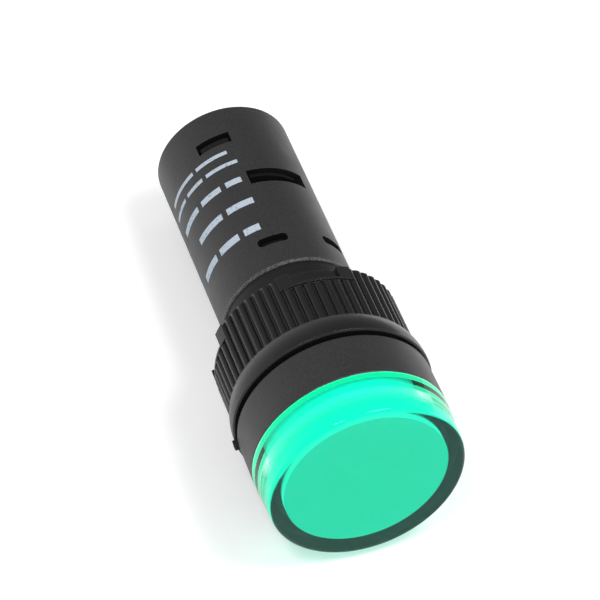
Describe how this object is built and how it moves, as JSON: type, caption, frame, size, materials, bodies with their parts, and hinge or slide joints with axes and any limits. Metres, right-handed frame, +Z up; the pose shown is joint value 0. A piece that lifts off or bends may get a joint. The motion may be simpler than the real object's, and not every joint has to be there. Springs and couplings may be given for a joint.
{
  "type": "panel pilot light",
  "caption": "Round panel indicator lamp: green lens, black bezel, ribbed ring nut on a threaded barrel, and a tubular rear housing with screw terminals.",
  "frame": {"origin": "centre of the bezel's rear face, which seats on the panel", "axes": "+Y along the barrel from the panel seat to the terminals, so the lens faces -Y; +Z up"},
  "size_m": [0.0302, 0.0692, 0.0298],
  "materials": {
    "green_lens": "polished moulded acrylic, clear green",
    "milky_diffuser": "milky moulded plastic",
    "white_board": "solder masked laminate",
    "led_package": "moulded LED package",
    "black_housing": "fine grained moulded plastic",
    "black_nut": "moulded plastic, slightly glossier",
    "black_insert": "moulded plastic",
    "black_rubber": "soft rubber",
    "tinned_brass": "tin plated brass",
    "zinc_steel": "zinc plated steel",
    "tan_board": "paper laminate",
    "capacitor_case": "moulded case",
    "capacitor_can": "sleeved can",
    "resistor_coat": "lacquer",
    "diode_body": "moulded body"
  },
  "bodies": {
    "lamp_body": {"lens": "green_lens", "diffuser": "milky_diffuser", "led_board": "white_board", "leds": "led_package", "front_housing": "black_housing", "rear_shell": "black_housing", "terminal_block": "black_insert", "terminal_strip_1": "tinned_brass", "terminal_strip_2": "tinned_brass", "dropper_board": "tan_board", "link_pins": "tinned_brass", "film_capacitor": "capacitor_case", "smoothing_capacitor": "capacitor_can", "surge_resistor": "resistor_coat", "bleed_resistor": "resistor_coat", "rectifier_diodes": "diode_body"},
    "gasket": {"gasket": "black_rubber"},
    "mounting_nut": {"mounting_nut": "black_nut"},
    "clamp_washer_1": {"clamp_washer_1": "zinc_steel"},
    "clamp_washer_2": {"clamp_washer_2": "zinc_steel"},
    "terminal_screw_1": {"terminal_screw_1": "zinc_steel"},
    "terminal_screw_2": {"terminal_screw_2": "zinc_steel"}
  },
  "joints": [
    {"name": "nut_travel", "type": "slide", "parent": "lamp_body", "child": "gasket", "axis": [0, 1, 0], "range_m": [0, 0.012]},
    {"name": "nut_turn", "type": "hinge", "parent": "gasket", "child": "mounting_nut", "pos_m": [0, 0.008, 0], "axis": [0, 1, 0], "range_deg": [0, 4320]},
    {"name": "screw_1_travel", "type": "slide", "parent": "lamp_body", "child": "clamp_washer_1", "axis": [0, 1, 0], "range_m": [0, 0.002]},
    {"name": "screw_1_turn", "type": "hinge", "parent": "clamp_washer_1", "child": "terminal_screw_1", "pos_m": [0.004, 0.0478, 0], "axis": [0, 1, 0], "range_deg": [0, 1440]},
    {"name": "screw_2_travel", "type": "slide", "parent": "lamp_body", "child": "clamp_washer_2", "axis": [0, 1, 0], "range_m": [0, 0.002]},
    {"name": "screw_2_turn", "type": "hinge", "parent": "clamp_washer_2", "child": "terminal_screw_2", "pos_m": [-0.004, 0.0478, 0], "axis": [0, 1, 0], "range_deg": [0, 1440]}
  ],
  "couplings": [
    {"joint": "nut_turn", "follows": "nut_travel", "rad_per_m": 6283.2},
    {"joint": "screw_1_turn", "follows": "screw_1_travel", "rad_per_m": 12566},
    {"joint": "screw_2_turn", "follows": "screw_2_travel", "rad_per_m": 12566}
  ]
}
